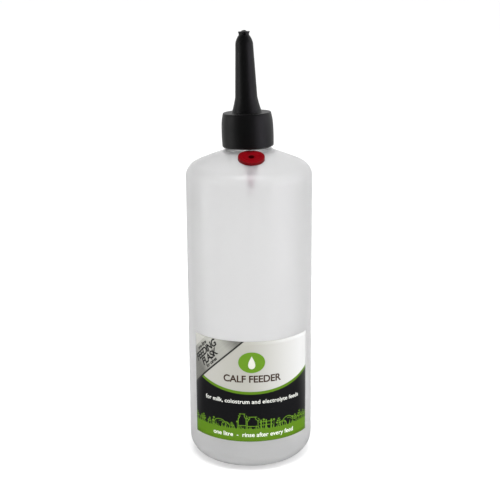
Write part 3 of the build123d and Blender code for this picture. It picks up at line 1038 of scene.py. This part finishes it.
# %% Finishes, bodies, replaced nodes and slots
fittings = [
    (bottle, plastic_finish, "bottle", "bottle", "natural_polyethylene"),
    (teat, black_finish, "teat", "teat", "black_rubber"),
    (valve, red_finish, "air_valve", "air_valve", "red_rubber"),
    (label, print_finish, "bottle", "front_label", "printed_film"),
]
for piece, finish, body, node, material_slot in fittings:
    piece.data.materials.append(finish)
    frame["nodes"][node].data.materials.clear()
    frame["nodes"][node].data.materials.append(finish)
    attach(piece, body)
    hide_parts(node)
for piece, finish in ink_finishes.items():
    piece.data.materials.append(finish)
    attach(piece, "bottle")
print("pieces fitted:", len(fittings) + len(ink_finishes))

# %% [markdown]
# ## Floor, light and camera
#
# The bottle stands on a large pale floor in a white room that is brightest overhead and at the sides. A large
# panel overhead lifts the floor to white and leaves the thin shadow where the heel turns under, and a weak
# softbox behind to the right cools that side. Two strips are seen only by mirrored rays: they draw the soft
# upright highlights on the black rubber and light nothing else.


# %% A flat square facing up
def flat_square(name, half_side, height):
    """A square: the four corners of (x, y) with x and y from -half_side to half_side."""
    s = half_side
    mesh = bpy.data.meshes.new(name)
    mesh.from_pydata([(-s, -s, height), (s, -s, height), (s, s, height), (-s, s, height)], [], [(0, 1, 2, 3)])
    return new_object(name, mesh)


floor = flat_square("floor", 4.0, -0.00002)

# %% [markdown]
# Black rubber mirrors whatever stands in front of it, so a studio keeps that side dark with black cards.
# Here the floor and the room do the same: they light the object fully, but a ray that was mirrored off a
# surface finds them dim. The Light Path node tells such a ray apart. It also lets the camera see the floor's
# own glow a little weaker, so the shadow on it stays, and see the room as white.


# %% A pale floor that mirrors dimly
def mirrored(recipe):
    """1 for a ray that was mirrored, 0 for any other: glossy, and not passed through."""
    return recipe.ray("Glossy") * (1 - recipe.ray("Transmission"))


MIRROR_FRONT = 0.012
MIRROR_BACK = 1.1


def mirrored_light(to_back):
    """How bright a mirrored ray finds a direction: MIRROR_FRONT in front of the object and at its sides, and
    more by MIRROR_BACK times how far the direction points backwards."""
    return to_back.math("MAXIMUM", 0.0) * MIRROR_BACK + MIRROR_FRONT


FLOOR_WHITE = 0.76
FLOOR_GLOW = 0.5
GLOW_HELD_BACK = 0.18
pale = Recipe(bpy.data.materials.new("pale_floor"))
spot = pale.node("ShaderNodeTexCoord", output="Object")
spot_direction = pale.node("ShaderNodeVectorMath", {"operation": "NORMALIZE"}, {0: spot})
spot_to_back = pale.part(spot_direction, 1)
white_paper = pale.node("ShaderNodeBsdfDiffuse", {}, {"Color": (FLOOR_WHITE,) * 3 + (1,)})
glow_strength = FLOOR_GLOW - pale.ray("Camera") * GLOW_HELD_BACK
glow = pale.node("ShaderNodeEmission", {}, {"Color": (1, 1, 1, 1), "Strength": glow_strength})
lit_paper = pale.node("ShaderNodeAddShader", {}, {0: white_paper, 1: glow})
dim_paper = pale.node("ShaderNodeEmission", {}, {"Strength": mirrored_light(spot_to_back)})
floor_shader = pale.node("ShaderNodeMixShader", {}, {0: mirrored(pale), 1: lit_paper, 2: dim_paper})
pale.node("ShaderNodeOutputMaterial", {}, {"Surface": floor_shader})
floor.data.materials.append(bpy.data.materials["pale_floor"])

# %% The white room
ROOM_LIGHT = 0.03
ROOM_SIDES = 0.9
ROOM_RIGHT = 0.2
ROOM_FRONT = 0.08
ROOM_TOP = 0.95
SEEN_WHITE = 1.1
bpy.context.scene.world = bpy.data.worlds.new("white_room")
room = Recipe(bpy.context.scene.world)
direction = room.node("ShaderNodeTexCoord", output="Generated")
to_right, to_back = room.part(direction, 0), room.part(direction, 1)
to_up = room.part(direction, 2).math("MAXIMUM", 0.0)
from_sides = to_right**2 * ROOM_SIDES + to_right * ROOM_RIGHT
light = ROOM_LIGHT + from_sides - to_back * ROOM_FRONT + to_up * ROOM_TOP
light = light.math("MAXIMUM", 0.0)
brightness = light - mirrored(room) * (light - mirrored_light(to_back))
brightness = brightness + room.ray("Camera") * SEEN_WHITE
room_shader = room.node("ShaderNodeBackground", {}, {"Color": (1, 1, 1, 1), "Strength": brightness})
room.node("ShaderNodeOutputWorld", {}, {"Surface": room_shader})


# %% Softboxes
def softbox(name, place, aim, width, height, power, tint):
    """A rectangular area light at a place, turned so that it faces the aim."""
    light = bpy.data.lights.new(name, "AREA")
    light.shape, light.size, light.size_y = "RECTANGLE", width, height
    light.energy, light.color = power, tint
    lamp = new_object(name, light)
    lamp.location = place
    lamp.rotation_euler = (Vector(aim) - Vector(place)).to_track_quat("-Z", "Y").to_euler()
    print(name, "gives", power, "W")
    return lamp


MIDDLE = (0, 0, 0.14)
softbox("right_softbox", (1.3, 0.25, 0.7), MIDDLE, 0.5, 1.3, 2.5, (0.93, 0.94, 1.0))
top_panel = softbox("top_panel", (0, -0.5, 1.85), MIDDLE, 0.9, 0.9, 20, (1, 1, 1))
top_panel.visible_glossy = False
strips = [
    softbox("left_strip", (-0.49, -0.09, 0.25), (0, 0, 0.25), 0.2, 0.5, 0.55, (1, 1, 1)),
    softbox("right_strip", (0.44, -0.23, 0.25), (0, 0, 0.25), 0.36, 0.5, 0.75, (0.93, 0.88, 1.0)),
]
for strip in strips:
    strip.visible_diffuse = strip.visible_transmission = strip.visible_camera = False

# %% Camera
CAMERA_X = 0.00035
CAMERA_ROLL = radians(-0.38)
LOOKED_AT_Z = 0.14725
camera = new_object("camera", bpy.data.cameras.new("camera"))
camera.data.sensor_width = 36.0
camera.data.lens = 93.73
camera.data.clip_start, camera.data.clip_end = 0.01, 50
camera.location = (CAMERA_X, -0.86727, 0.38776)
look = (Vector((CAMERA_X, 0, LOOKED_AT_Z)) - camera.location).to_track_quat("-Z", "Y")
camera.rotation_euler = (look @ Quaternion((0, 0, 1), CAMERA_ROLL)).to_euler()
bpy.context.scene.camera = camera
bpy.context.scene.view_settings.view_transform = "Standard"
print("the camera stands", round(-camera.location.y, 3), "m in front of the bottle's axis")
